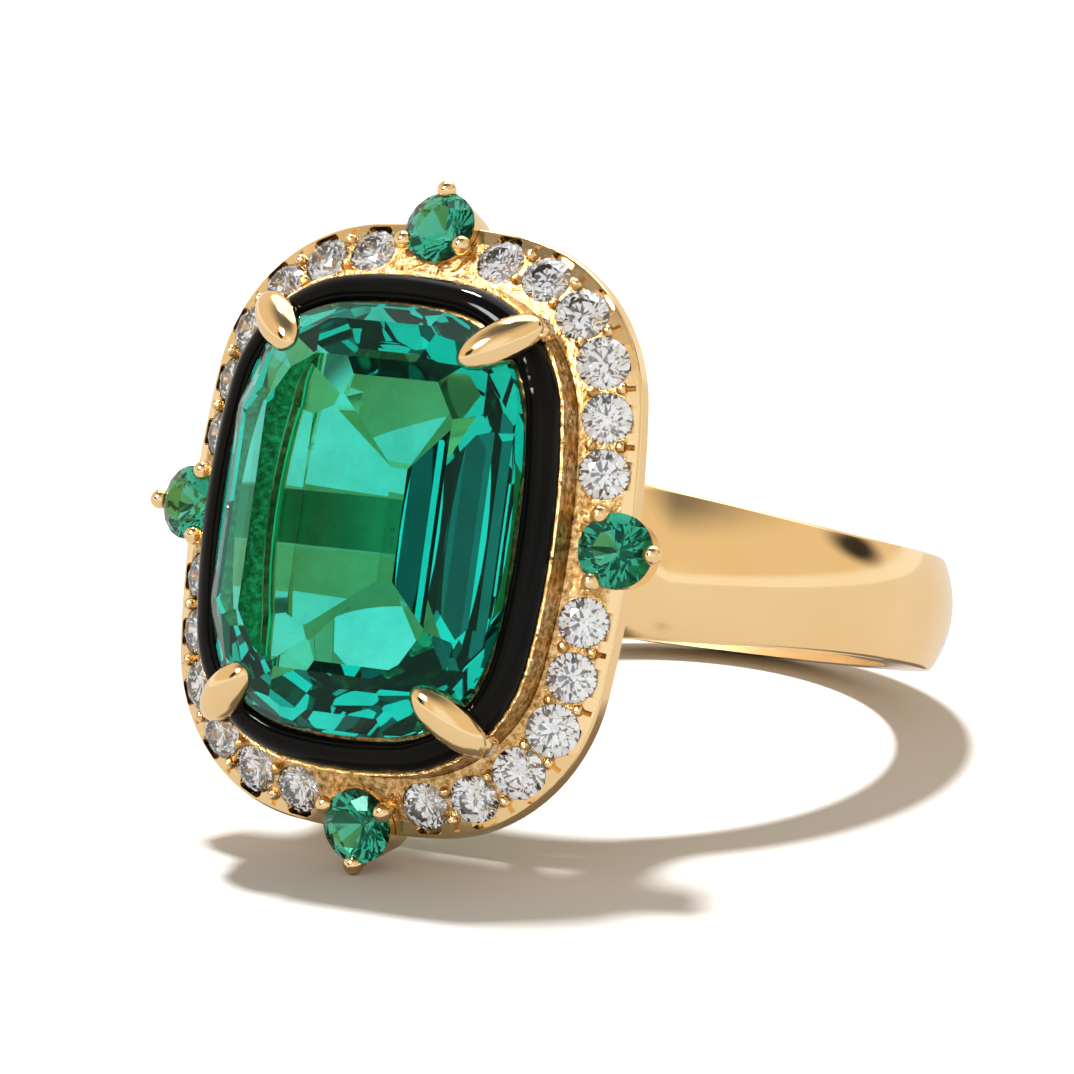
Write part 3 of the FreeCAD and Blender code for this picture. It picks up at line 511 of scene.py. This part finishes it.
def resting_tilt():
    """Angle about X and height of the table the ring lies on with its south prong and its band."""
    head = points_of("accent_collet_south")[:, 1:]
    band = points_of("shank")[:, 1:]
    tilt = 0.0
    for _ in range(6):
        down = np.array([math.sin(tilt), -math.cos(tilt)])
        touch_head = head[(head @ down).argmax()]
        touch_band = band[(band @ down).argmax() if tilt else band[:, 0].argmax()]
        tilt = math.atan2(touch_band[1] - touch_head[1], touch_band[0] - touch_head[0])
    return tilt, float(-(touch_head @ np.array([math.sin(tilt), -math.cos(tilt)])))


def make_table():
    """White table the ring lies on; returns its axes."""
    tilt, level = resting_tilt()
    mesh = bpy.data.meshes.new("table")
    half = HALF_TABLE
    corners = [(-half, -half, 0), (half, -half, 0), (half, half, 0), (-half, half, 0)]
    mesh.from_pydata(corners, [], [(0, 1, 2, 3)])
    shader = Shader("white_table")
    seen = shader.add("ShaderNodeLightPath").outputs["Is Camera Ray"]
    tone = shader.ramp(seen, (0.0, TABLE_MIRRORED), (1.0, TABLE_SEEN))
    mesh.materials.append(shader.finish(shader.add(
        "ShaderNodeBsdfPrincipled", Base_Color=tone, Roughness=0.6, Specular_IOR_Level=0.0,
    ).outputs[0]))
    table = bpy.data.objects.new("table", mesh)
    table.matrix_world = Matrix.Rotation(tilt, 4, "X") @ Matrix.Translation((0, 0, level))
    bpy.context.scene.collection.objects.link(table)
    return Matrix.Rotation(tilt, 3, "X")


def make_sun(table_axes):
    """Key light from behind on the left, so the shadow falls forward and to the right."""
    light = bpy.data.lights.new("key", "SUN")
    light.energy = SUN_ENERGY
    light.angle = SUN_WIDTH
    light.color = (1.0, 0.98, 0.95)
    sun = bpy.data.objects.new("key", light)
    travel = table_axes @ SUN_TRAVEL
    sun.rotation_mode = "QUATERNION"
    sun.rotation_quaternion = travel.to_track_quat("-Z", "Y")
    bpy.context.scene.collection.objects.link(sun)


def make_world(table_axes):
    """White to the camera; to the ring a warm room over a bright floor, with windows and dark corners."""
    world = bpy.data.worlds.new("studio")
    bpy.context.scene.world = world
    world.cycles.sampling_method = "NONE"
    world.use_nodes = True
    tree = world.node_tree
    tree.nodes.clear()

    def node(kind, settings=None, *values):
        made = tree.nodes.new(kind)
        for key, value in (settings or {}).items():
            setattr(made, key, value)
        for index, value in enumerate(values):
            if isinstance(value, bpy.types.NodeSocket):
                tree.links.new(value, made.inputs[index])
            elif value is not None:
                made.inputs[index].default_value = value
        return made

    def smooth(value, *ends):
        return node("ShaderNodeMapRange", {"interpolation_type": "SMOOTHSTEP"}, value, *ends).outputs[0]

    def above(value, limit):
        return node("ShaderNodeMath", {"operation": "GREATER_THAN"}, value, limit).outputs[0]

    def toward(azimuth, elevation, reach, soft):
        """1 within reach of a direction, 0 outside, soft at the edge; degrees, in table axes."""
        turn, rise = math.radians(azimuth), math.radians(elevation)
        flat = math.cos(rise)
        axis = table_axes @ Vector((math.cos(turn) * flat, math.sin(turn) * flat, math.sin(rise)))
        dot = node("ShaderNodeVectorMath", {"operation": "DOT_PRODUCT"}, ray, tuple(axis)).outputs["Value"]
        angle = node("ShaderNodeMath", {"operation": "ARCCOSINE"}, dot).outputs[0]
        far, near = math.radians(reach + soft), math.radians(reach - soft)
        return smooth(angle, near, far, 1.0, 0.0)

    def blend(factor, low, high):
        mix = node("ShaderNodeMix", {"data_type": "RGBA"})
        tree.links.new(factor, mix.inputs["Factor"])
        for index, value in ((6, low), (7, high)):
            if isinstance(value, bpy.types.NodeSocket):
                tree.links.new(value, mix.inputs[index])
            else:
                color = value if isinstance(value, tuple) else (value,) * 3
                mix.inputs[index].default_value = (*color, 1)
        return mix.outputs[2]

    ray = node("ShaderNodeTexCoord").outputs["Generated"]
    color = WALLS
    for azimuth, elevation, reach, soft, brightness in PATCHES:
        color = blend(toward(azimuth, elevation, reach, soft), color, brightness)
    cells = node("ShaderNodeTexVoronoi", None, ray)
    cells.inputs["Scale"].default_value = MOSAIC_SCALE
    split = node("ShaderNodeSeparateColor", None, cells.outputs["Color"]).outputs[0]
    mosaic = smooth(split, 0.3, 0.7, *MOSAIC_RANGE)
    path = node("ShaderNodeLightPath")
    color = blend(above(path.outputs["Ray Depth"], DEEP), color, mosaic)
    color = blend(above(path.outputs["Diffuse Depth"], 0.5), color, AMBIENT)
    color = blend(path.outputs["Is Camera Ray"], color, WHITE)
    node("ShaderNodeOutputWorld", None, node("ShaderNodeBackground", None, color).outputs[0])


def make_camera():
    camera = bpy.data.objects.new("camera", bpy.data.cameras.new("camera"))
    camera.data.lens = CAMERA_LENS
    camera.data.sensor_width = 36
    camera.data.clip_start = 1 * MM
    back = Vector((
        math.sin(CAMERA_AZIMUTH) * math.cos(CAMERA_ELEVATION),
        -math.cos(CAMERA_AZIMUTH) * math.cos(CAMERA_ELEVATION),
        math.sin(CAMERA_ELEVATION),
    ))
    turn = (-back).to_track_quat("-Z", "Y").to_matrix() @ Matrix.Rotation(CAMERA_ROLL, 3, "Z")
    camera.matrix_world = Matrix.Translation(CAMERA_AIM + back * CAMERA_DISTANCE) @ turn.to_4x4()
    bpy.context.scene.collection.objects.link(camera)
    bpy.context.scene.camera = camera


table_axes = make_table()
make_sun(table_axes)
make_world(table_axes)
make_camera()
scene = bpy.context.scene
scene.view_settings.view_transform = "Standard"
scene.cycles.use_denoising = True
# light goes round many times inside the stones
scene.cycles.max_bounces = 24
scene.cycles.transmission_bounces = 20
scene.cycles.transparent_max_bounces = 16
